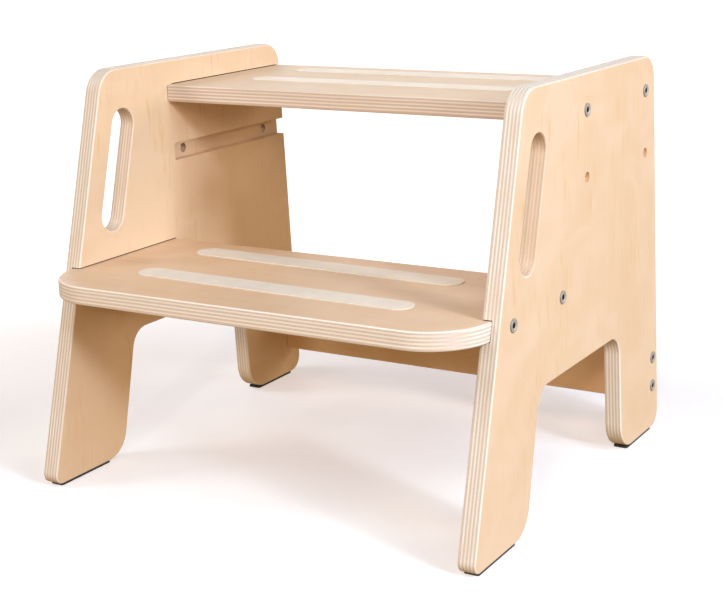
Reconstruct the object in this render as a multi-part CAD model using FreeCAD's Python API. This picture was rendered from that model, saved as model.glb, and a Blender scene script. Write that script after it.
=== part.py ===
import FreeCAD, Part
import math
import os

# Two-step wooden stool for toddlers: two plywood side panels, two plywood steps let into grooves
# in the panels, a low rear stretcher, anti-slip strips, foot pads, bolts and barrel nuts.
# Row frame: millimetres, +Z up, X across the width, -Y towards the user standing in front.
# The origin is on the floor, at the centre of the stool's footprint.

# ---- overall size ----
OVERALL_WIDTH = 411.0
OVERALL_HEIGHT = 343.0
PLY = 15.0
EDGE_ROUND = 1.5

# ---- side panel outline, measured in the Y-Z plane ----
PANEL_DEPTH = 368.8
FOOT_LENGTH = 88.7
FRONT_LEAN = 15.05
REAR_LEAN = 2.7
ARCH_FRONT_LEAN = 13.1
ARCH_REAR_LEAN = 2.8
ARCH_HEIGHT = 110.0
TOP_FRONT_R = 24.0
TOP_REAR_R = 21.0
ARCH_CORNER_R = 19.0
FOOT_TOE_R = 8.0
FOOT_INNER_R = 25.0
FOOT_HEEL_R = 15.0

# ---- hand slot in each side panel, parallel to the leaning front edge ----
SLOT_LENGTH = 106.5
SLOT_WIDTH = 27.0
SLOT_SETBACK = 35.2
SLOT_CENTRE_Z = 255.9

# ---- steps ----
STEP_DEPTH = 176.4
LOWER_TOP = 180.0
UPPER_TOP = 321.0
LOWER_FRONT_Y = -183.7
UPPER_FRONT_Y = -7.3
LOWER_CORNER_R = 50.0
LOWER_REAR_CORNER_R = 3.0

# ---- grooves (dadoes) in the inner faces of the side panels ----
GROOVE_DEPTH = 8.5
GROOVE_PLAY = 0.8
GROOVE_END_PLAY = 0.15
GROOVE_END_R = 2.0
LOWER_GROOVE_REAR_Y = -6.5
UPPER_GROOVE_FRONT_Y = -1.3
SPARE_GROOVE_Z = 251.4
TONGUE_SETBACK = 0.8
NOSE_END_PLAY = 0.4

# ---- rear stretcher ----
STRETCHER_HEIGHT = 52.0
STRETCHER_BOTTOM = 28.7
STRETCHER_FRONT_Y = 162.2
STRETCHER_END_PLAY = 0.1

# ---- anti-slip strips, stuck on by hand: turned a little (degrees) and off centre ----
STRIP_LENGTH = 266.0
STRIP_WIDTH = 25.0
STRIP_THK = 0.8
STRIP_EDGE_R = 0.35
LOWER_STRIP_X = -5.2
UPPER_STRIP_X = -10.0
LOWER_STRIP_TURN = -1.7
UPPER_STRIP_TURN = 0.5
LOWER_STRIP_SETBACKS = {"front": 60.7, "rear": 139.7}
UPPER_STRIP_SETBACKS = {"front": 69.0, "rear": 141.0}

# ---- foot pads ----
FRONT_PAD_LENGTH = 61.0
REAR_PAD_LENGTH = 57.5
PAD_WIDTH = 13.0
PAD_THK = 2.0
PAD_CORNER_R = 2.0
PAD_EDGE_R = 0.4
FRONT_PAD_CENTRE_Y = -144.4
REAR_PAD_CENTRE_Y = 139.8

# ---- bolts with thin heads and a hexagon socket ----
BOLT_D = 6.0
BOLT_LENGTH = 45.0
BOLT_TIP_CHAMFER = 0.8
HEAD_D = 10.8
HEAD_THK = 1.0
HEAD_CHAMFER = 0.4
SOCKET_AF = 4.0
SOCKET_DEPTH = 2.8
PANEL_HOLE_D = 8.6
BORE_D = 6.8
BORE_RUN_OUT = 3.0

# ---- bolt positions along Y and Z ----
UPPER_BOLT_Y = {"front": 21.0, "rear": 147.8}
LOWER_BOLT_Y = {"front": -115.6, "rear": -27.8}
STRETCHER_BOLT_Z = {"low": 41.4, "high": 68.0}
SPARE_HOLE_Z = 259.3

# ---- barrel nuts (cross dowels) hidden in the steps and in the stretcher ----
BARREL_D = 10.0
BARREL_LENGTH = 12.0
BARREL_X = 167.0
BARREL_HOLE_D = 10.6
BARREL_HOLE_DEPTH = 13.8
BARREL_THREAD_D = 6.6
BARREL_SLOT_WIDTH = 1.4
BARREL_SLOT_DEPTH = 1.5
BARREL_CHAMFER = 0.4

# ---- values that follow from the ones above ----
HALF_WIDTH = OVERALL_WIDTH / 2
INNER_X = HALF_WIDTH - PLY
GROOVE_FLOOR_X = INNER_X + GROOVE_DEPTH
STEP_END_X = GROOVE_FLOOR_X - GROOVE_END_PLAY
PANEL_BOTTOM = PAD_THK
PANEL_FRONT_Y = -PANEL_DEPTH / 2
PANEL_REAR_Y = PANEL_DEPTH / 2
GROOVE_WIDTH = PLY + GROOVE_PLAY
LOWER_GROOVE_Z = LOWER_TOP - PLY
UPPER_GROOVE_Z = UPPER_TOP - PLY
LOWER_BOLT_Z = LOWER_TOP - PLY / 2
UPPER_BOLT_Z = UPPER_TOP - PLY / 2
STRETCHER_BOLT_Y = STRETCHER_FRONT_Y + PLY / 2
FAR = 400.0
SIDES = {"left": -1, "right": 1}

V = FreeCAD.Vector


# ---- general helpers ----

def unit(vector):
    """Copy of a vector with length one."""
    return vector * (1.0 / vector.Length)


def rounded_wire(corners):
    """Closed wire through (point, radius) corners, each corner turned into a tangent arc."""
    count = len(corners)
    arcs = []
    for i in range(count):
        point, radius = corners[i]
        back = unit(corners[i - 1][0] - point)
        ahead = unit(corners[(i + 1) % count][0] - point)
        half_angle = back.getAngle(ahead) / 2
        reach = radius / math.tan(half_angle)
        centre = point + unit(back + ahead) * (radius / math.sin(half_angle))
        middle = centre + unit(point - centre) * radius
        arcs.append((point + back * reach, middle, point + ahead * reach))
    edges = []
    for i in range(count):
        start, middle, end = arcs[i]
        edges.append(Part.Arc(start, middle, end).toShape())
        next_start = arcs[(i + 1) % count][0]
        if (next_start - end).Length > 0.001:
            edges.append(Part.makeLine(end, next_start))
    return Part.Wire(edges)


def extruded(wire, direction):
    """Solid made by sweeping a flat closed wire along a vector."""
    return Part.Face(wire).extrude(direction)


def edges_where(shape, test):
    """Edges whose ends and middle all satisfy a test on their position."""
    found = []
    for edge in shape.Edges:
        first, last = edge.ParameterRange
        points = [edge.valueAt(first), edge.valueAt((first + last) / 2), edge.valueAt(last)]
        if all(test(point) for point in points):
            found.append(edge)
    return found


def rounded_rim(shape, axis, levels, radius):
    """Solid with every edge that lies in the planes axis = level rounded over."""
    def on_a_level(point):
        return any(abs(getattr(point, axis) - level) < 0.001 for level in levels)
    return shape.makeFillet(radius, edges_where(shape, on_a_level))


def cylinder(radius, start, end):
    """Round rod between two points."""
    return Part.makeCylinder(radius, (end - start).Length, start, end - start)


def mirrored(shape):
    """Copy of a left-hand piece for the right-hand side."""
    return shape.mirror(V(0, 0, 0), V(1, 0, 0))


# ---- side panels ----

def front_edge_y(z):
    """Y of the panel's leaning front edge at height z."""
    return PANEL_FRONT_Y + (z - PANEL_BOTTOM) * math.tan(math.radians(FRONT_LEAN))


def rear_edge_y(z):
    """Y of the panel's slightly leaning rear edge at height z."""
    return PANEL_REAR_Y - (z - PANEL_BOTTOM) * math.tan(math.radians(REAR_LEAN))


def arch_front_y(z):
    """Y of the rear side of the front leg at height z."""
    rise = (z - PANEL_BOTTOM) * math.tan(math.radians(ARCH_FRONT_LEAN))
    return PANEL_FRONT_Y + FOOT_LENGTH + rise


def arch_rear_y(z):
    """Y of the front side of the rear leg at height z."""
    rise = (z - PANEL_BOTTOM) * math.tan(math.radians(ARCH_REAR_LEAN))
    return PANEL_REAR_Y - FOOT_LENGTH - rise


def panel_blank():
    """Left panel outline: two legs with an arch between them, all edges rounded over."""
    x = -HALF_WIDTH
    floor = PANEL_BOTTOM
    corners = [
        (V(x, front_edge_y(floor), floor), FOOT_TOE_R),
        (V(x, arch_front_y(floor), floor), FOOT_INNER_R),
        (V(x, arch_front_y(ARCH_HEIGHT), ARCH_HEIGHT), ARCH_CORNER_R),
        (V(x, arch_rear_y(ARCH_HEIGHT), ARCH_HEIGHT), ARCH_CORNER_R),
        (V(x, arch_rear_y(floor), floor), FOOT_INNER_R),
        (V(x, rear_edge_y(floor), floor), FOOT_HEEL_R),
        (V(x, rear_edge_y(OVERALL_HEIGHT), OVERALL_HEIGHT), TOP_REAR_R),
        (V(x, front_edge_y(OVERALL_HEIGHT), OVERALL_HEIGHT), TOP_FRONT_R),
    ]
    blank = extruded(rounded_wire(corners), V(PLY, 0, 0))
    return rounded_rim(blank, "x", [-HALF_WIDTH, -INNER_X], EDGE_ROUND)


def hand_slot(extra):
    """Prism of the hand slot, grown by extra on every side of its outline."""
    lean = math.radians(FRONT_LEAN)
    along = V(0, math.sin(lean), math.cos(lean))
    across = V(0, math.cos(lean), -math.sin(lean))
    setback = SLOT_SETBACK / math.cos(lean)
    centre = V(-HALF_WIDTH - PLY, front_edge_y(SLOT_CENTRE_Z) + setback, SLOT_CENTRE_Z)
    radius = SLOT_WIDTH / 2 + extra
    half_straight = (SLOT_LENGTH - SLOT_WIDTH) / 2
    top = centre + along * half_straight
    bottom = centre - along * half_straight
    edges = [
        Part.makeLine(bottom - across * radius, top - across * radius),
        Part.Arc(top - across * radius, top + along * radius, top + across * radius).toShape(),
        Part.makeLine(top + across * radius, bottom + across * radius),
        Part.Arc(bottom + across * radius, bottom - along * radius,
                 bottom - across * radius).toShape(),
    ]
    return extruded(Part.Wire(edges), V(3 * PLY, 0, 0))


def with_hand_slot(panel):
    """Panel with the long hand slot cut through and its two rims rounded over."""
    cut = panel.cut(hand_slot(0))
    inside = hand_slot(EDGE_ROUND)

    def on_slot_rim(point):
        on_face = min(abs(point.x + HALF_WIDTH), abs(point.x + INNER_X)) < 0.001
        return on_face and inside.isInside(point, 0.001, True)
    return cut.makeFillet(EDGE_ROUND, edges_where(cut, on_slot_rim))


def groove(front_y, rear_y, bottom_z):
    """Groove volume for one step, opening to the inner face, with small corner radii."""
    x = -GROOVE_FLOOR_X
    corners = [
        (V(x, front_y, bottom_z), GROOVE_END_R),
        (V(x, rear_y, bottom_z), GROOVE_END_R),
        (V(x, rear_y, bottom_z + GROOVE_WIDTH), GROOVE_END_R),
        (V(x, front_y, bottom_z + GROOVE_WIDTH), GROOVE_END_R),
    ]
    return extruded(rounded_wire(corners), V(FAR / 2, 0, 0))


def bolt_stations():
    """Y and Z of each bolt that passes through a side panel, by name."""
    stations = {}
    for place, y in UPPER_BOLT_Y.items():
        stations["upper_" + place] = (y, UPPER_BOLT_Z)
    for place, y in LOWER_BOLT_Y.items():
        stations["lower_" + place] = (y, LOWER_BOLT_Z)
    for place, z in STRETCHER_BOLT_Z.items():
        stations["stretcher_" + place] = (STRETCHER_BOLT_Y, z)
    return stations


def panel_holes():
    """Clearance holes through the left panel, with the spare pair below the upper step."""
    places = list(bolt_stations().values())
    for y in UPPER_BOLT_Y.values():
        places.append((y, SPARE_HOLE_Z))
    holes = []
    for y, z in places:
        start = V(-HALF_WIDTH - PLY, y, z)
        holes.append(cylinder(PANEL_HOLE_D / 2, start, V(-INNER_X + PLY, y, z)))
    return holes


def left_panel():
    """Left side panel with hand slot, grooves and holes."""
    panel = with_hand_slot(panel_blank())
    cutters = [
        groove(-FAR, LOWER_GROOVE_REAR_Y, LOWER_GROOVE_Z),
        groove(UPPER_GROOVE_FRONT_Y, FAR, UPPER_GROOVE_Z),
        groove(UPPER_GROOVE_FRONT_Y, FAR, SPARE_GROOVE_Z),
    ]
    return panel.cut(cutters + panel_holes())


# ---- steps and stretcher ----

def end_bores(stations):
    """Bolt bores drilled into both ends of a board at the given Y and Z places."""
    bores = []
    for side in SIDES.values():
        for y, z in stations:
            start = V(side * (HALF_WIDTH + PLY), y, z)
            end = V(side * (HALF_WIDTH - BOLT_LENGTH - BORE_RUN_OUT), y, z)
            bores.append(cylinder(BORE_D / 2, start, end))
    return bores


def barrel_holes(stations, drilling):
    """Blind holes for barrel nuts, crossing the bolt bores; drilling points into the wood."""
    holes = []
    for side in SIDES.values():
        for y, z in stations:
            centre = V(side * BARREL_X, y, z)
            mouth = centre - drilling * (PLY / 2)
            outside = mouth - drilling * PLY
            holes.append(cylinder(BARREL_HOLE_D / 2, outside, mouth + drilling * BARREL_HOLE_DEPTH))
    return holes


def lower_step():
    """Lower step: reaches ahead of the panels with two large rounded front corners."""
    bottom = LOWER_TOP - PLY
    rear_y = LOWER_FRONT_Y + STEP_DEPTH
    corners = [
        (V(-STEP_END_X, LOWER_FRONT_Y, bottom), LOWER_CORNER_R),
        (V(STEP_END_X, LOWER_FRONT_Y, bottom), LOWER_CORNER_R),
        (V(STEP_END_X, rear_y, bottom), LOWER_REAR_CORNER_R),
        (V(-STEP_END_X, rear_y, bottom), LOWER_REAR_CORNER_R),
    ]
    board = extruded(rounded_wire(corners), V(0, 0, PLY))
    board = rounded_rim(board, "z", [bottom, LOWER_TOP], EDGE_ROUND)
    stations = [(y, LOWER_BOLT_Z) for y in LOWER_BOLT_Y.values()]
    return board.cut(end_bores(stations) + barrel_holes(stations, V(0, 0, 1)))


def upper_step():
    """Upper step: ends let into the grooves, front corners notched to meet the inner faces."""
    bottom = UPPER_TOP - PLY
    tongue_y = UPPER_GROOVE_FRONT_Y + TONGUE_SETBACK
    nose_x = INNER_X - NOSE_END_PLAY
    rear_y = UPPER_FRONT_Y + STEP_DEPTH
    outline = Part.makePolygon([
        V(-nose_x, UPPER_FRONT_Y, bottom), V(nose_x, UPPER_FRONT_Y, bottom),
        V(nose_x, tongue_y, bottom), V(STEP_END_X, tongue_y, bottom),
        V(STEP_END_X, rear_y, bottom), V(-STEP_END_X, rear_y, bottom),
        V(-STEP_END_X, tongue_y, bottom), V(-nose_x, tongue_y, bottom),
        V(-nose_x, UPPER_FRONT_Y, bottom),
    ])
    board = extruded(outline, V(0, 0, PLY))

    def on_long_edge(point):
        on_rim = min(abs(point.z - bottom), abs(point.z - UPPER_TOP)) < 0.001
        on_side = min(abs(point.y - UPPER_FRONT_Y), abs(point.y - rear_y)) < 0.001
        return on_rim and on_side
    board = board.makeFillet(EDGE_ROUND, edges_where(board, on_long_edge))
    stations = [(y, UPPER_BOLT_Z) for y in UPPER_BOLT_Y.values()]
    return board.cut(end_bores(stations) + barrel_holes(stations, V(0, 0, 1)))


def rear_stretcher():
    """Low rear board that butts against the inner faces of the two panels."""
    half_length = INNER_X - STRETCHER_END_PLAY
    corner = V(-half_length, STRETCHER_FRONT_Y, STRETCHER_BOTTOM)
    board = Part.makeBox(2 * half_length, PLY, STRETCHER_HEIGHT, corner)
    long_edges = [edge for edge in board.Edges if edge.Length > half_length]
    board = board.makeFillet(EDGE_ROUND, long_edges)
    stations = [(STRETCHER_BOLT_Y, z) for z in STRETCHER_BOLT_Z.values()]
    return board.cut(end_bores(stations) + barrel_holes(stations, V(0, -1, 0)))


# ---- anti-slip strips and foot pads ----

def anti_slip_strip(centre_x, centre_y, step_top, turn):
    """Thin strip with fully rounded ends and a soft upper rim, stuck on a step."""
    radius = STRIP_WIDTH / 2
    reach = STRIP_LENGTH / 2 - radius
    left = V(centre_x - reach, centre_y, step_top)
    right = V(centre_x + reach, centre_y, step_top)
    edges = [
        Part.makeLine(left + V(0, -radius, 0), right + V(0, -radius, 0)),
        Part.Arc(right + V(0, -radius, 0), right + V(radius, 0, 0),
                 right + V(0, radius, 0)).toShape(),
        Part.makeLine(right + V(0, radius, 0), left + V(0, radius, 0)),
        Part.Arc(left + V(0, radius, 0), left + V(-radius, 0, 0),
                 left + V(0, -radius, 0)).toShape(),
    ]
    strip = extruded(Part.Wire(edges), V(0, 0, STRIP_THK))
    strip = rounded_rim(strip, "z", [step_top + STRIP_THK], STRIP_EDGE_R)
    strip.rotate(V(centre_x, centre_y, step_top), V(0, 0, 1), turn)
    return strip


def foot_pad(side, centre_y, length):
    """Thin rubber pad under one foot, on the floor."""
    centre_x = side * (HALF_WIDTH - PLY / 2)
    low = V(centre_x - PAD_WIDTH / 2, centre_y - length / 2, 0)
    high = V(centre_x + PAD_WIDTH / 2, centre_y + length / 2, 0)
    corners = [
        (low, PAD_CORNER_R),
        (V(high.x, low.y, 0), PAD_CORNER_R),
        (high, PAD_CORNER_R),
        (V(low.x, high.y, 0), PAD_CORNER_R),
    ]
    pad = extruded(rounded_wire(corners), V(0, 0, PAD_THK))
    return rounded_rim(pad, "z", [0.0], PAD_EDGE_R)


# ---- bolts and barrel nuts ----

def bolt(side, y, z):
    """Bolt with a thin round head on the panel's outer face and a hexagon socket."""
    inward = V(-side, 0, 0)
    seat = V(side * HALF_WIDTH, y, z)
    head_top = seat - inward * HEAD_THK
    head = cylinder(HEAD_D / 2, head_top, seat)
    rim = edges_where(head, lambda point: abs(point.x - head_top.x) < 0.001)
    head = head.makeChamfer(HEAD_CHAMFER, rim)
    tip = seat + inward * BOLT_LENGTH
    shank = cylinder(BOLT_D / 2, seat - inward * (HEAD_THK / 2), tip)
    tip_rim = edges_where(shank, lambda point: abs(point.x - tip.x) < 0.001)
    shank = shank.makeChamfer(BOLT_TIP_CHAMFER, tip_rim)
    corner_radius = SOCKET_AF / math.sqrt(3)
    points = []
    for k in range(7):
        angle = math.radians(30 + 60 * k)
        points.append(head_top + V(0, math.cos(angle), math.sin(angle)) * corner_radius)
    socket = extruded(Part.makePolygon(points), inward * SOCKET_DEPTH)
    return head.fuse(shank).removeSplitter().cut(socket)


def barrel_nut(side, y, z, drilling):
    """Cross dowel with a cross hole for the bolt and a driver slot at the open end."""
    centre = V(side * BARREL_X, y, z)
    back = centre - drilling * (BARREL_LENGTH / 2)
    front = centre + drilling * (BARREL_LENGTH / 2)
    body = cylinder(BARREL_D / 2, back, front)
    body = body.makeChamfer(BARREL_CHAMFER, [e for e in body.Edges if len(e.Vertexes) == 1])
    reach = V(BARREL_D, 0, 0)
    hole = cylinder(BARREL_THREAD_D / 2, centre - reach, centre + reach)
    third = V(1, 0, 0).cross(drilling)
    start = back - reach - third * (BARREL_SLOT_WIDTH / 2) - drilling
    corners = [start, start + reach * 2]
    corners += [corners[1] + third * BARREL_SLOT_WIDTH, start + third * BARREL_SLOT_WIDTH, start]
    slot = extruded(Part.makePolygon(corners), drilling * (1 + BARREL_SLOT_DEPTH))
    return body.cut([hole, slot])


# ---- assembly ----

def drilling_direction(station):
    """Barrel nuts enter the steps from below and the stretcher from behind."""
    return V(0, -1, 0) if station.startswith("stretcher") else V(0, 0, 1)


def all_parts():
    """Every separate physical piece, keyed by node name."""
    panel = left_panel()
    parts = {
        "left_panel": panel,
        "right_panel": mirrored(panel),
        "lower_step": lower_step(),
        "upper_step": upper_step(),
        "rear_stretcher": rear_stretcher(),
    }
    for place, setback in LOWER_STRIP_SETBACKS.items():
        centre_y = LOWER_FRONT_Y + setback
        strip = anti_slip_strip(LOWER_STRIP_X, centre_y, LOWER_TOP, LOWER_STRIP_TURN)
        parts["lower_strip_" + place] = strip
    for place, setback in UPPER_STRIP_SETBACKS.items():
        centre_y = UPPER_FRONT_Y + setback
        strip = anti_slip_strip(UPPER_STRIP_X, centre_y, UPPER_TOP, UPPER_STRIP_TURN)
        parts["upper_strip_" + place] = strip
    for side_name, side in SIDES.items():
        parts["pad_front_" + side_name] = foot_pad(side, FRONT_PAD_CENTRE_Y, FRONT_PAD_LENGTH)
        parts["pad_rear_" + side_name] = foot_pad(side, REAR_PAD_CENTRE_Y, REAR_PAD_LENGTH)
        for station, (y, z) in bolt_stations().items():
            label = station + "_" + side_name
            parts["bolt_" + label] = bolt(side, y, z)
            parts["nut_" + label] = barrel_nut(side, y, z, drilling_direction(station))
    return parts


os.makedirs("parts", exist_ok=True)
for node, shape in all_parts().items():
    shape.exportStep("parts/" + node + ".step")
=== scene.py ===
import math

import bmesh
import bpy
from mathutils import Matrix, Vector


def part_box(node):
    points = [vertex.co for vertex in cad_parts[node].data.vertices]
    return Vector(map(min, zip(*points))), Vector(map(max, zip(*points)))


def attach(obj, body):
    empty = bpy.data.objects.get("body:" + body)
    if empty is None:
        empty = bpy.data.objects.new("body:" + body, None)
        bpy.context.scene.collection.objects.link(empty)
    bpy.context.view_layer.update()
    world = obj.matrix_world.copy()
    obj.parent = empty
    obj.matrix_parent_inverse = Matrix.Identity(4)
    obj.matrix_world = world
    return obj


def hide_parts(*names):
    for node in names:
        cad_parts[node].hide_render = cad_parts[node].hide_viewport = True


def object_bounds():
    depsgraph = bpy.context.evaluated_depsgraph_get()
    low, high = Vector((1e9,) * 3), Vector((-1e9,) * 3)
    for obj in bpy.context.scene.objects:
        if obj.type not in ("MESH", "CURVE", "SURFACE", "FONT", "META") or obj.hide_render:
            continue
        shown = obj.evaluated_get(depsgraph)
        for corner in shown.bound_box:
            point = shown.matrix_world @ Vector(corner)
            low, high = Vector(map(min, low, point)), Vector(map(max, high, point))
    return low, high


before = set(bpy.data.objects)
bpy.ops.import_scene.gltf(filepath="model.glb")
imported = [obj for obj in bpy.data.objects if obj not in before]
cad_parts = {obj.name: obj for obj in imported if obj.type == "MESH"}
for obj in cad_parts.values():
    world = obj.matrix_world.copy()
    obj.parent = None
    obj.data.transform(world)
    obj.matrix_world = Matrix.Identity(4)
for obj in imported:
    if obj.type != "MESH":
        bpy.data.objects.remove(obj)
cad_low, cad_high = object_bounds()

# Two-step wooden stool: birch plywood panels and steps, off-white anti-slip strips, steel bolts
# and black foot pads. Metres, +Z up, -Y towards the user, origin on the floor under the centre.
MM = 0.001
AXES = {"X": 0, "Y": 1, "Z": 2}

# ---- camera ----
CAMERA_PLACE = (0.67161, -1.06605, 0.47753)
CAMERA_YAW = math.radians(29.121)
CAMERA_PITCH = math.radians(11.993)
CAMERA_ROLL = math.radians(-1.298)
CAMERA_LENS = 74.81
CAMERA_SENSOR = 36.0
CAMERA_SHIFT = (-0.1019, -0.1105)

# ---- plywood build-up: eleven plies, outer ones thinner, grain direction alternating ----
PLY_THICKNESSES = (1.0, 1.45, 1.4, 1.45, 1.5, 1.4, 1.45, 1.4, 1.55, 1.4, 1.0)
PLY_TONES = (0.55, 0.5, 0.42, 0.62, 0.5, 0.35, 0.6, 0.45, 0.66, 0.4, 0.55)
GLUE_HALF = 0.09

# ---- floor and surroundings; the glow of the floor rises from one radius to another ----
FLOOR_REACH = 12.0
FLOOR_COLOUR = (0.65, 0.73, 0.78, 1.0)
FLOOR_GLOW = (0.445, 0.39, 0.40, 1.0)
GLOW_RADII = (0.30, 0.90)
GLOW_STRENGTHS = (1.0, 1.7)
BOUNCE = (0.36, 0.205, 0.065, 1.0)

# ---- lights: azimuth, elevation and spread in degrees, distance, brightness ----
NEAR = 2.9
LIGHTS = {
    "key_low": (73, 17, 7, NEAR, (0.462, 0.482, 0.513)),
    "key_high": (80, 38, 24, NEAR, (0.385, 0.433, 0.486)),
    "front_small": (18, 22, 5, None, (0.203, 0.174, 0.142)),
    "front": (35, 20, 24, None, (0.263, 0.226, 0.174)),
    "front_left": (-25, 20, 24, None, (0.215, 0.200, 0.180)),
    "left": (-60, 38, 24, None, (0.370, 0.345, 0.325)),
    "rear_left": (-135, 12, 24, None, (0.37, 0.34, 0.31)),
    "rear_right": (135, 20, 24, None, (0.260, 0.210, 0.155)),
}


# ---- node helpers ----

class Surface:
    """A node material, with short calls that add nodes and join them."""

    def __init__(self, name):
        self.material = bpy.data.materials.new(name)
        self.material.use_nodes = True
        self.tree = self.material.node_tree
        self.tree.nodes.clear()
        self.shader = self.add("ShaderNodeBsdfPrincipled")
        output = self.add("ShaderNodeOutputMaterial")
        self.tree.links.new(self.shader.outputs["BSDF"], output.inputs["Surface"])

    def add(self, kind, **settings):
        """Adds a node and sets its plain properties."""
        node = self.tree.nodes.new(kind)
        for name, value in settings.items():
            setattr(node, name, value)
        return node

    def feed(self, socket, value):
        """Gives an input either another node's output or a plain value."""
        if isinstance(value, bpy.types.NodeSocket):
            self.tree.links.new(value, socket)
        else:
            socket.default_value = value

    def maths(self, operation, a, b=0.0, clamp=False):
        """One arithmetic step."""
        node = self.add("ShaderNodeMath", operation=operation, use_clamp=clamp)
        self.feed(node.inputs[0], a)
        self.feed(node.inputs[1], b)
        return node.outputs[0]

    def between(self, value, low, high, at_low=0.0, at_high=1.0):
        """Value carried smoothly from the range low..high to at_low..at_high."""
        node = self.add("ShaderNodeMapRange", interpolation_type="SMOOTHSTEP")
        for socket, number in zip(node.inputs, (value, low, high, at_low, at_high)):
            self.feed(socket, number)
        return node.outputs["Result"]

    def blend(self, factor, a, b, kind="MIX"):
        """Colour a turned into colour b by factor."""
        node = self.add("ShaderNodeMix", data_type="RGBA", blend_type=kind)
        self.feed(node.inputs["Factor"], factor)
        self.feed(node.inputs["A"], a)
        self.feed(node.inputs["B"], b)
        return node.outputs["Result"]

    def vector(self, x, y, z):
        """Vector from three numbers or outputs."""
        node = self.add("ShaderNodeCombineXYZ")
        for socket, value in zip(node.inputs, (x, y, z)):
            self.feed(socket, value)
        return node.outputs[0]

    def parts(self, vector):
        """The three components of a vector."""
        node = self.add("ShaderNodeSeparateXYZ")
        self.feed(node.inputs[0], vector)
        return list(node.outputs)

    def scaled(self, vector, factor):
        """Vector times a constant."""
        node = self.add("ShaderNodeVectorMath", operation="SCALE")
        self.feed(node.inputs[0], vector)
        node.inputs["Scale"].default_value = factor
        return node.outputs[0]

    def length(self, vector):
        """Length of a vector."""
        node = self.add("ShaderNodeVectorMath", operation="LENGTH")
        self.feed(node.inputs[0], vector)
        return node.outputs["Value"]

    def noise(self, vector, detail=3.0, roughness=0.5, distortion=0.0):
        """Noise of about 0 to 1, one cell per unit of the vector."""
        node = self.add("ShaderNodeTexNoise")
        self.feed(node.inputs["Vector"], vector)
        node.inputs["Scale"].default_value = 1.0
        node.inputs["Detail"].default_value = detail
        node.inputs["Roughness"].default_value = roughness
        node.inputs["Distortion"].default_value = distortion
        return node.outputs["Fac"]

    def steps(self, value, stops, interpolation):
        """Value looked up in a list of (position, grey) stops."""
        node = self.add("ShaderNodeValToRGB")
        ramp = node.color_ramp
        ramp.interpolation = interpolation
        while len(ramp.elements) < len(stops):
            ramp.elements.new(1.0)
        for element, (position, grey) in zip(ramp.elements, stops):
            element.position = position
            element.color = (grey, grey, grey, 1.0)
        self.feed(node.inputs[0], value)
        return node.outputs["Color"]

    def bump(self, height, distance, normal=None):
        """Surface normal disturbed by a height."""
        node = self.add("ShaderNodeBump")
        node.inputs["Strength"].default_value = 1.0
        node.inputs["Distance"].default_value = distance
        self.feed(node.inputs["Height"], height)
        if normal is not None:
            self.feed(node.inputs["Normal"], normal)
        return node.outputs["Normal"]

    def finish(self, colour, roughness, normal=None, **constants):
        """Feeds the shader its colour, roughness and normal, and sets constant values."""
        self.feed(self.shader.inputs["Base Color"], colour)
        self.feed(self.shader.inputs["Roughness"], roughness)
        if normal is not None:
            self.feed(self.shader.inputs["Normal"], normal)
        for name, value in constants.items():
            self.shader.inputs[name.replace("_", " ")].default_value = value
        return self.material


# ---- birch plywood ----

FACE_LIGHT = (0.80, 0.585, 0.405, 1.0)
FACE_DEEP = (0.755, 0.525, 0.335, 1.0)
FACE_STREAK = (0.71, 0.46, 0.22, 1.0)
EDGE_LONG = (0.90, 0.815, 0.735, 1.0)
EDGE_END = (0.66, 0.545, 0.46, 1.0)
EDGE_GLUE = (0.44, 0.33, 0.25, 1.0)
# inside the empty holes: the darker drilled end grain with painted shade over it, deeper on the
# left panel
HOLE_WALL_SHADE = {"left_panel": (0.34, 0.21, 0.12, 1.0), "right_panel": (0.70, 0.45, 0.25, 1.0)}
# painted shade on the walls of the hand slots, more of it on the right panel
SLOT_WALL_SHADE = (0.60, 0.38, 0.22, 1.0)
SLOT_WALL_SHADE_SHARE = {"left_panel": 0.22, "right_panel": 0.5}
# painted shade for the narrow gaps between boards
GAP_SHADE = (0.06, 0.028, 0.014, 1.0)

# ---- openings of the side panels: hand slot along the leaning front edge, two empty holes ----
FRONT_LEAN = math.radians(15.05)
SLOT_HEIGHT = 255.9 * MM
SLOT_SETBACK = 35.2 * MM
SLOT_HALF_STRAIGHT = 39.75 * MM
SLOT_RIM_RADIUS = 13.5 * MM
SPARE_HOLES = ((21.0 * MM, 259.3 * MM), (147.8 * MM, 259.3 * MM))
HOLE_RIM_RADIUS = 5.6 * MM
RIM_FADE = 0.7 * MM

# ---- spare groove: half heights between which the painted light on its ledge fades; reach of the painted shade in the gaps ----
LEDGE_FADE = (9.5 * MM, 10.5 * MM)
CREVICE_REACH = 2.4 * MM


def ply_stops():
    """Ramp stops across the board: grain direction, tone and glue lines of each ply."""
    total = sum(PLY_THICKNESSES)
    glue_half = GLUE_HALF / total
    crossing, tones, glue = [], [], [(0.0, 0.0)]
    edge = 0.0
    for i, thickness in enumerate(PLY_THICKNESSES):
        crossing.append((edge, float(i % 2)))
        tones.append((edge, PLY_TONES[i]))
        if i > 0:
            glue += [(edge - glue_half, 0.0), (edge, 1.0), (edge + glue_half, 0.0)]
        edge += thickness / total
    return crossing, tones, glue


def near_line(s, y, z, centre, half_length, radius):
    """1 inside a leaning slot of the YZ plane, 0 outside its rim."""
    y = s.maths("SUBTRACT", y, centre[0])
    z = s.maths("SUBTRACT", z, centre[1])
    sine, cosine = math.sin(FRONT_LEAN), math.cos(FRONT_LEAN)
    along = s.maths("ADD", s.maths("MULTIPLY", y, sine), s.maths("MULTIPLY", z, cosine))
    across = s.maths("SUBTRACT", s.maths("MULTIPLY", y, cosine), s.maths("MULTIPLY", z, sine))
    past = s.maths("MAXIMUM", s.maths("SUBTRACT", s.maths("ABSOLUTE", along), half_length), 0.0)
    return s.between(s.length(s.vector(past, across, 0.0)), radius, radius + RIM_FADE, 1.0, 0.0)


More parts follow.
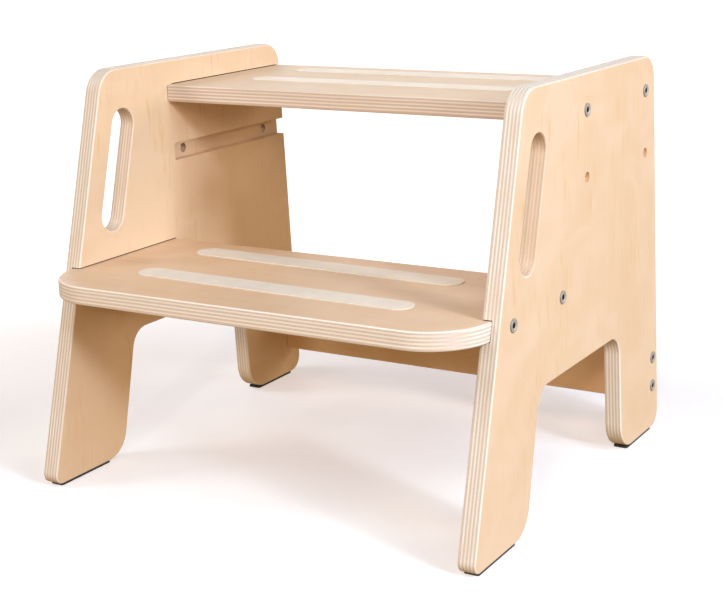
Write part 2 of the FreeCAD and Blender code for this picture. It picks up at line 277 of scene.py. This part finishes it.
def panel_openings(s, y, z, low):
    """Masks of the hand slot and of the two empty holes of a side panel."""
    slot_y = low.y + (SLOT_HEIGHT - low.z) * math.tan(FRONT_LEAN)
    slot_y += SLOT_SETBACK / math.cos(FRONT_LEAN)
    slot = near_line(s, y, z, (slot_y, SLOT_HEIGHT), SLOT_HALF_STRAIGHT, SLOT_RIM_RADIUS)
    first, second = (near_line(s, y, z, hole, 0.0, HOLE_RIM_RADIUS) for hole in SPARE_HOLES)
    return slot, s.maths("MAXIMUM", first, second)


def birch_ply(node, thickness_axis, grain_axis, seed, face_shade_factor, edge_shade_factor):
    """Birch plywood for one board, its plies stacked along thickness_axis."""
    low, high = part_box(node)
    cross_axis = ({"X", "Y", "Z"} - {thickness_axis, grain_axis}).pop()
    s = Surface("birch_" + node)
    place = s.add("ShaderNodeTexCoord")
    at = s.parts(place.outputs["Object"])
    facing = s.parts(place.outputs["Normal"])
    along = at[AXES[grain_axis]]
    across = at[AXES[cross_axis]]
    depth = s.maths("SUBTRACT", at[AXES[thickness_axis]], low[AXES[thickness_axis]])
    face_on = s.maths("ABSOLUTE", facing[AXES[thickness_axis]])
    end_along = s.maths("ABSOLUTE", facing[AXES[grain_axis]])
    end_across = s.maths("ABSOLUTE", facing[AXES[cross_axis]])
    edge = s.between(face_on, 0.999, 0.95)

    # plies, slightly wavy
    crossing_stops, tone_stops, glue_stops = ply_stops()
    wave_at = s.vector(s.maths("MULTIPLY", along, 9.0), s.maths("MULTIPLY", across, 9.0), seed)
    wave = s.between(s.noise(wave_at, 2.0), 0.2, 0.8, -0.016, 0.016)
    thickness = high[AXES[thickness_axis]] - low[AXES[thickness_axis]]
    layer = s.maths("ADD", s.maths("DIVIDE", depth, thickness), wave)
    crossing = s.steps(layer, crossing_stops, "CONSTANT")
    tone = s.steps(layer, tone_stops, "CONSTANT")
    glue = s.steps(layer, glue_stops, "LINEAR")

    # each ply's own grain direction
    turned = s.maths("MULTIPLY", crossing, s.maths("SUBTRACT", across, along))
    run = s.maths("ADD", along, turned)
    over = s.maths("SUBTRACT", across, turned)
    end = s.maths("ADD", end_along, s.maths("MULTIPLY", crossing,
                                            s.maths("SUBTRACT", end_across, end_along)))

    def grain(run_scale, over_scale, detail, shift=0.0, distortion=0.0, roughness=0.5):
        """Noise drawn out along the grain."""
        where = s.vector(s.maths("MULTIPLY", run, run_scale),
                         s.maths("MULTIPLY", over, over_scale),
                         s.maths("MULTIPLY", depth, over_scale))
        offset = s.add("ShaderNodeVectorMath", operation="ADD")
        s.feed(offset.inputs[0], where)
        offset.inputs[1].default_value = (seed * 7.3 + shift, seed * 3.1 - shift, seed + shift)
        return s.noise(offset.outputs[0], detail, roughness, distortion)

    bands = grain(5.0, 16.0, 3.0, 1.0, 0.6)
    strands = grain(5.0, 120.0, 2.0, 2.0)
    fibres = grain(40.0, 1500.0, 2.0, 3.0)
    flecks = grain(26.0, 190.0, 3.0, 4.0, 0.5, 0.6)
    rings = grain(1.3, 7.0, 2.0, 5.0, 0.6)
    # painted sheen: pale patches across the grain, partly also the wood's cloudy tone
    painted_sheen = grain(22.0, 14.0, 3.0, 6.0, 0.7)

    ring_lines = s.maths("PINGPONG", s.maths("MULTIPLY", rings, 11.0), 0.5)
    figure = s.between(ring_lines, 0.0, 0.5, 0.0, 1.0)
    depth_of_tone = s.maths("ADD", s.between(bands, 0.25, 0.75, 0.0, 0.6),
                            s.maths("MULTIPLY", figure, 0.08))
    depth_of_tone = s.maths("ADD", depth_of_tone, s.between(strands, 0.3, 0.7, -0.05, 0.07))
    depth_of_tone = s.maths("SUBTRACT", depth_of_tone, s.between(painted_sheen, 0.40, 0.66, -0.1, 0.5))
    face = s.blend(s.maths("ADD", depth_of_tone, 0.1, True), FACE_LIGHT, FACE_DEEP)
    patchy = s.between(grain(9.0, 20.0, 2.0, 9.0), 0.45, 0.60)
    streak = s.maths("MULTIPLY", s.between(flecks, 0.54, 0.70, 0.0, 0.7), patchy)
    face = s.blend(streak, face, FACE_STREAK)

    # cut edges: pale where a ply runs with the edge, darker where it is cut across
    end_look = s.between(end, 0.35, 0.95)
    pores = grain(700.0, 900.0, 2.0, 8.0)
    end_dark = s.blend(s.between(pores, 0.4, 0.75, 0.0, 0.35), EDGE_END, EDGE_GLUE)
    long_light = s.blend(s.between(strands, 0.3, 0.75, 0.0, 0.5), EDGE_LONG, FACE_LIGHT)
    cut = s.blend(end_look, long_light, end_dark)
    cut = s.blend(s.maths("MULTIPLY", glue, 0.35), cut, EDGE_GLUE)
    cut = s.blend(s.between(tone, 0.3, 0.7, 0.0, 0.22), cut, FACE_DEEP)
    face = s.blend(s.between(fibres, 0.35, 0.75, 0.0, 0.04), face, FACE_STREAK)
    # colour factors of the board: its own tone together with painted light and shade
    face = s.blend(1.0, face, face_shade_factor + (1.0,), "MULTIPLY")
    cut = s.blend(1.0, cut, edge_shade_factor + (1.0,), "MULTIPLY")
    if thickness_axis == "X":
        slot, holes = panel_openings(s, at[1], at[2], low)
        # the upward-facing ledge of the spare groove is made pale, partly as plain wood and partly
        # as painted light from above
        level = s.maths("ABSOLUTE", s.maths("SUBTRACT", at[2], SPARE_HOLES[0][1]))
        ledge = s.maths("MULTIPLY", s.between(level, *LEDGE_FADE, 0.8, 0.0),
                        s.between(end_along, 0.5, 0.9))
        cut = s.blend(ledge, cut, FACE_LIGHT)
        # painted shade on the walls of the hand slot
        cut = s.blend(s.maths("MULTIPLY", slot, SLOT_WALL_SHADE_SHARE[node]), cut, SLOT_WALL_SHADE)
        # painted shade inside the empty holes
        cut = s.blend(s.maths("MULTIPLY", holes, 0.9), cut, HOLE_WALL_SHADE[node])
    colour = s.blend(edge, face, cut)

    # painted shade in the narrow gaps where boards meet, from ambient occlusion; the gloss is taken
    # out there too
    gaps = s.add("ShaderNodeAmbientOcclusion", samples=8)
    gaps.inputs["Distance"].default_value = CREVICE_REACH
    fine = s.blend(s.between(gaps.outputs["AO"], 0.15, 0.64, 0.97, 0.0), colour, GAP_SHADE)
    height = s.maths("ADD", s.maths("MULTIPLY", fibres, 0.35), s.maths("MULTIPLY", strands, 0.65))
    ridge = s.maths("MULTIPLY", s.maths("MULTIPLY", edge, end_look), -1.2)
    height = s.maths("ADD", height, ridge)
    normal = s.bump(height, 0.03 * MM)
    gloss = s.maths("ADD", s.between(edge, 0.0, 1.0, 0.40, 0.58),
                    s.between(strands, 0.2, 0.8, -0.04, 0.06))
    # painted shade on the reflection: less gloss in the occluded gaps
    s.feed(s.shader.inputs["Specular IOR Level"], s.between(gaps.outputs["AO"], 0.3, 0.7, 0.0, 0.4))
    return s.finish(fine, gloss, normal, IOR=1.47)


# ---- anti-slip strips and foot pads ----

STRIP_PALE = (0.86, 0.80, 0.73, 1.0)
STRIP_WARM = (0.82, 0.755, 0.675, 1.0)
STRIP_PIT = (0.60, 0.50, 0.40, 1.0)
STRIP_SIDE_SHADE = (0.58, 0.52, 0.46, 1.0)
RUBBER_BLACK = (0.012, 0.012, 0.012, 1.0)
RUBBER_GREY = (0.035, 0.034, 0.033, 1.0)


def strip_vinyl():
    """Off-white anti-slip vinyl with a fine pebbled face and painted shade on its cut sides."""
    s = Surface("strip_vinyl")
    place = s.add("ShaderNodeTexCoord").outputs["Object"]
    cells = s.add("ShaderNodeTexVoronoi", feature="SMOOTH_F1")
    s.feed(cells.inputs["Vector"], place)
    cells.inputs["Scale"].default_value = 1100.0
    clouds = s.noise(s.scaled(place, 45.0), 3.0)
    colour = s.blend(s.between(clouds, 0.3, 0.7), STRIP_PALE, STRIP_WARM)
    pits = s.between(cells.outputs["Distance"], 0.2, 0.7, 0.0, 0.18)
    colour = s.blend(pits, colour, STRIP_PIT)
    # painted shade: the sides, facing away from the top, are made darker
    upward = s.parts(s.add("ShaderNodeNewGeometry").outputs["Normal"])[AXES["Z"]]
    colour = s.blend(s.between(upward, 0.2, 0.8, 0.8, 0.0), colour, STRIP_SIDE_SHADE)
    normal = s.bump(cells.outputs["Distance"], -0.06 * MM)
    return s.finish(colour, s.between(clouds, 0.2, 0.8, 0.52, 0.62), normal, IOR=1.45)


def rubber():
    """Matt black rubber with a slight grey bloom."""
    s = Surface("black_rubber")
    place = s.add("ShaderNodeTexCoord").outputs["Object"]
    grit = s.noise(s.scaled(place, 900.0), 4.0, 0.6)
    colour = s.blend(s.between(grit, 0.35, 0.75), RUBBER_BLACK, RUBBER_GREY)
    normal = s.bump(grit, 0.05 * MM)
    return s.finish(colour, s.between(grit, 0.3, 0.7, 0.6, 0.8), normal)


# ---- steel nuts, and bolts with a stepped head and a hexagon socket ----

HEAD_RADIUS = 5.4 * MM
HEAD_HEIGHT = 1.0 * MM
GROOVE_RADIUS = 3.95 * MM
AROUND = 72
SHARP_ANGLE = math.radians(35)
STEEL_BRIGHT = (0.60, 0.59, 0.585, 1.0)
STEEL_DULL = (0.46, 0.45, 0.445, 1.0)
STEEL_SHADE = (0.07, 0.065, 0.06, 1.0)
SOCKET_SHADE = (0.012, 0.012, 0.012, 1.0)


def steel(name, base, roughness):
    """Zinc-plated steel with a fine even grit."""
    s = Surface(name)
    place = s.add("ShaderNodeTexCoord").outputs["Object"]
    grit = s.noise(s.scaled(place, 1600.0), 3.0, 0.6)
    dull = tuple(value * 0.72 for value in base) + (1.0,)
    colour = s.blend(s.between(grit, 0.35, 0.75), tuple(base) + (1.0,), dull)
    normal = s.bump(grit, 0.01 * MM)
    return s.finish(colour, s.between(grit, 0.3, 0.7, roughness - 0.05, roughness + 0.1), normal,
                    Metallic=1.0)


def bolt_steel():
    """Plated bolt: turned rings on the head, painted shade in the groove and by the rim, and
    painted shade deep in the socket.
    """
    s = Surface("bolt_steel_detail")
    place = s.add("ShaderNodeTexCoord").outputs["Object"]
    x, y, z = s.parts(place)
    radius = s.length(s.vector(0.0, y, z))
    grit = s.noise(s.scaled(place, 1400.0), 3.0, 0.6)
    rings = s.add("ShaderNodeTexNoise", noise_dimensions="1D")
    s.feed(rings.inputs["W"], s.maths("MULTIPLY", radius, 5200.0))
    rings.inputs["Scale"].default_value = 1.0
    colour = s.blend(s.between(grit, 0.3, 0.75), STEEL_BRIGHT, STEEL_DULL)
    # painted shade in the groove of the head and by its rim
    groove = s.maths("SUBTRACT", 1.0, s.between(
        s.maths("ABSOLUTE", s.maths("SUBTRACT", radius, GROOVE_RADIUS)), 0.1 * MM, 0.32 * MM))
    rim = s.between(radius, HEAD_RADIUS - 0.5 * MM, HEAD_RADIUS - 0.05 * MM)
    # painted shade deep in the hexagon socket
    deep = s.maths("SUBTRACT", 1.0, s.between(x, 0.3 * MM, 0.9 * MM))
    deep = s.maths("MULTIPLY", deep, s.between(radius, 2.9 * MM, 3.3 * MM, 1.0, 0.0))
    rim_groove_shade = s.maths("MAXIMUM", s.maths("MULTIPLY", groove, 0.45), s.maths("MULTIPLY", rim, 0.6))
    colour = s.blend(rim_groove_shade, colour, STEEL_SHADE)
    colour = s.blend(deep, colour, SOCKET_SHADE)
    height = s.maths("ADD", s.maths("MULTIPLY", rings.outputs["Fac"], 0.6),
                     s.maths("MULTIPLY", grit, 0.4))
    rough = s.maths("ADD", s.between(grit, 0.3, 0.7, 0.24, 0.36), s.maths("MULTIPLY", deep, 0.4))
    return s.finish(colour, rough, s.bump(height, 0.012 * MM), Metallic=0.35)


def hexagon(angle):
    """Radius of the hexagon socket at an angle, for a corner radius of one."""
    step = math.pi / 3
    return math.cos(step / 2) / math.cos((angle % step) - step / 2)


def bolt_profile(length):
    """Rings from the tip, over the head and down the socket: (x, radius, share of hexagon)."""
    rounded = [(-length, 2.2, 0), (-length + 0.8, 3.0, 0), (-0.02, 3.0, 0), (0.0, 3.05, 0),
               (0.0, 5.22, 0), (0.05, 5.34, 0), (0.15, 5.4, 0), (0.68, 5.4, 0), (0.8, 5.35, 0),
               (0.91, 5.24, 0), (0.98, 5.08, 0), (1.0, 4.92, 0), (1.0, 4.22, 0), (0.97, 4.14, 0),
               (0.86, 4.06, 0), (0.82, 3.97, 0), (0.86, 3.86, 0), (0.94, 3.78, 0), (0.98, 3.66, 0),
               (0.98, 3.3, 0), (0.94, 3.12, 0), (0.7, 2.72, 0)]
    socket = [(0.46, 2.31, 1), (0.38, 2.29, 1), (-1.5, 2.29, 1), (-1.62, 2.2, 1)]
    return [(x * MM, r * MM, share) for x, r, share in rounded + socket]


def bolt_mesh(length):
    """Turned bolt with its outer seat at the origin and its head towards +X."""
    shape = bmesh.new()
    rings = []
    for x, radius, share in bolt_profile(length):
        ring = []
        for i in range(AROUND):
            angle = 2 * math.pi * i / AROUND
            reach = radius * (hexagon(angle + math.pi / 6) if share else 1.0)
            ring.append(shape.verts.new((x, reach * math.cos(angle), reach * math.sin(angle))))
        rings.append(ring)
    for ring, following in zip(rings, rings[1:]):
        for i in range(AROUND):
            j = (i + 1) % AROUND
            shape.faces.new((ring[i], ring[j], following[j], following[i]))
    tip, pit = (shape.verts.new((x, 0, 0)) for x in (-length * MM, -2.2 * MM))
    for i in range(AROUND):
        j = (i + 1) % AROUND
        shape.faces.new((tip, rings[0][j], rings[0][i]))
        shape.faces.new((pit, rings[-1][i], rings[-1][j]))
    bmesh.ops.recalc_face_normals(shape, faces=shape.faces)
    mesh = bpy.data.meshes.new("bolt_detail")
    shape.to_mesh(mesh)
    shape.free()
    mesh.shade_smooth()
    mesh.set_sharp_from_angle(angle=SHARP_ANGLE)
    return mesh


def add_bolts():
    """Detailed bolts in the places of the CAD ones."""
    material = bolt_steel()
    meshes = {}
    for node in [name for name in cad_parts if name.startswith("bolt_")]:
        low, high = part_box(node)
        side = 1.0 if low.x + high.x > 0 else -1.0
        length = round((high.x - low.x - HEAD_HEIGHT) / MM, 2)
        if length not in meshes:
            meshes[length] = bolt_mesh(length)
            meshes[length].materials.append(material)
        bolt = bpy.data.objects.new("turned_" + node, meshes[length])
        head = (high.x if side > 0 else low.x) - side * HEAD_HEIGHT
        bolt.location = (head, (low.y + high.y) / 2, (low.z + high.z) / 2)
        bolt.rotation_euler = (0.0, 0.0, 0.0 if side > 0 else math.pi)
        bpy.context.scene.collection.objects.link(bolt)
        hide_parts(node)
        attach(bolt, "root")


# ---- putting the materials on the CAD nodes ----

def dress(node, material):
    """Gives a CAD node its material."""
    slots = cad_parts[node].data.materials
    slots.clear()
    slots.append(material)


# per board: thickness axis, grain axis, seed, face colour factors and edge colour factors; the
# factors are partly the board's own tone and partly painted light and shade, one board made lighter
# or darker as the light falls on it
BOARDS = {
    "left_panel": ("X", "Z", 1.0, (0.91, 0.95, 0.985), (0.89, 0.94, 1.0)),
    "right_panel": ("X", "Z", 2.0, (0.965, 1.045, 1.16), (0.94, 1.02, 1.12)),
    "lower_step": ("Z", "X", 3.0, (0.97, 0.96, 0.965), (1.0, 1.07, 1.18)),
    "upper_step": ("Z", "X", 4.0, (0.92, 0.97, 1.05), (0.84, 0.84, 0.87)),
    "rear_stretcher": ("Y", "X", 5.0, (1.0, 0.96, 0.88), (1.0, 0.96, 0.88)),
}
for board, look in BOARDS.items():
    dress(board, birch_ply(board, *look))

finishes = {
    "lower_strip": strip_vinyl(),
    "pad_": rubber(),
    "bolt_": steel("bolt_steel", (0.66, 0.66, 0.65), 0.28),
    "nut_": steel("nut_steel", (0.55, 0.54, 0.52), 0.42),
}
finishes["upper_strip"] = finishes["lower_strip"]
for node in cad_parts:
    for start, material in finishes.items():
        if node.startswith(start):
            dress(node, material)
add_bolts()


# ---- floor, light and camera ----

def pale_floor():
    """Wide plain floor, slightly luminous so that its shadows stay soft, more so away from the
    stool, where the surroundings are white."""
    mesh = bpy.data.meshes.new("floor")
    corners = [(-FLOOR_REACH, -FLOOR_REACH, 0), (FLOOR_REACH, -FLOOR_REACH, 0),
               (FLOOR_REACH, FLOOR_REACH, 0), (-FLOOR_REACH, FLOOR_REACH, 0)]
    mesh.from_pydata(corners, [], [(0, 1, 2, 3)])
    s = Surface("floor")
    away = s.length(s.add("ShaderNodeTexCoord").outputs["Object"])
    s.feed(s.shader.inputs["Emission Strength"], s.between(away, *GLOW_RADII, *GLOW_STRENGTHS))
    s.finish(FLOOR_COLOUR, 1.0, Specular_IOR_Level=0.0, Emission_Color=FLOOR_GLOW)
    floor = backdrop("floor", mesh, s.material)
    floor.visible_glossy = False


def white_walls():
    """Dome that gives the camera and the gloss of the varnish their white surroundings."""
    shape = bmesh.new()
    bmesh.ops.create_uvsphere(shape, u_segments=64, v_segments=32, radius=FLOOR_REACH * 0.95)
    low = [vertex for vertex in shape.verts if vertex.co.z < -MM]
    bmesh.ops.delete(shape, geom=low, context="VERTS")
    mesh = bpy.data.meshes.new("walls")
    shape.to_mesh(mesh)
    shape.free()
    s = Surface("walls")
    s.finish((0.0, 0.0, 0.0, 1.0), 1.0, Specular_IOR_Level=0.0,
             Emission_Color=(1.0, 1.0, 1.0, 1.0), Emission_Strength=1.0)
    backdrop("walls", mesh, s.material).visible_shadow = False


def backdrop(name, mesh, material):
    """Scenery object that throws no diffuse light on the stool; the lights do that."""
    obj = bpy.data.objects.new(name, mesh)
    bpy.context.scene.collection.objects.link(obj)
    obj.visible_diffuse = False
    material.cycles.emission_sampling = "NONE"
    mesh.materials.append(material)
    return obj


def softbox(name, azimuth, elevation, spread, distance, brightness):
    """Soft light on the stool: a square panel at a distance, or a very far one if it is None.
    Azimuth 0 is in front, 90 to the right; spread is the angle that the light fills."""
    a, e = math.radians(azimuth), math.radians(elevation)
    away = Vector((math.sin(a) * math.cos(e), -math.cos(a) * math.cos(e), math.sin(e)))
    peak = max(brightness)
    if distance is None:
        light = bpy.data.lights.new(name, "SUN")
        light.angle = math.radians(spread)
        light.energy = math.pi * peak
    else:
        light = bpy.data.lights.new(name, "AREA")
        light.size = 2 * distance * math.tan(math.radians(spread / 2))
        light.energy = (math.pi * distance) ** 2 * peak
    light.color = [value / peak for value in brightness]
    lamp = bpy.data.objects.new(name, light)
    lamp.rotation_euler = away.to_track_quat("Z", "Y").to_euler()
    lamp.location = (cad_low + cad_high) / 2 + away * (distance or NEAR)
    bpy.context.scene.collection.objects.link(lamp)


def warm_bounce():
    """Warm light from below, as a pale floor near the wood sends it back."""
    world = bpy.data.worlds.new("warm_bounce")
    world.use_nodes = True
    nodes, links = world.node_tree.nodes, world.node_tree.links
    place = nodes.new("ShaderNodeTexCoord")
    downward = nodes.new("ShaderNodeVectorMath")
    downward.operation = "DOT_PRODUCT"
    downward.inputs[1].default_value = (0.0, 0.0, -1.0)
    strength = nodes.new("ShaderNodeMapRange")
    strength.inputs["From Min"].default_value = -0.02
    strength.inputs["From Max"].default_value = 0.05
    links.new(place.outputs["Generated"], downward.inputs[0])
    links.new(downward.outputs["Value"], strength.inputs["Value"])
    background = nodes["Background"]
    background.inputs["Color"].default_value = BOUNCE
    links.new(strength.outputs["Result"], background.inputs["Strength"])
    bpy.context.scene.world = world


def add_camera():
    """Camera at the viewing angle of the reference."""
    yaw, pitch, roll = CAMERA_YAW, CAMERA_PITCH, CAMERA_ROLL
    ahead = Vector((-math.sin(yaw) * math.cos(pitch), math.cos(yaw) * math.cos(pitch),
                    -math.sin(pitch)))
    level = Vector((math.cos(yaw), math.sin(yaw), 0.0))
    upright = level.cross(ahead)
    right = level * math.cos(roll) + upright * math.sin(roll)
    up = upright * math.cos(roll) - level * math.sin(roll)
    data = bpy.data.cameras.new("camera")
    data.sensor_width = CAMERA_SENSOR
    data.lens = CAMERA_LENS
    data.shift_x, data.shift_y = CAMERA_SHIFT
    data.clip_start = 0.01
    camera = bpy.data.objects.new("camera", data)
    turn = Matrix((right, up, -ahead)).transposed().to_4x4()
    camera.matrix_world = Matrix.Translation(CAMERA_PLACE) @ turn
    bpy.context.scene.collection.objects.link(camera)
    bpy.context.scene.camera = camera


pale_floor()
white_walls()
warm_bounce()
for name, light in LIGHTS.items():
    softbox(name, *light)
add_camera()
bpy.context.scene.view_settings.view_transform = "Standard"
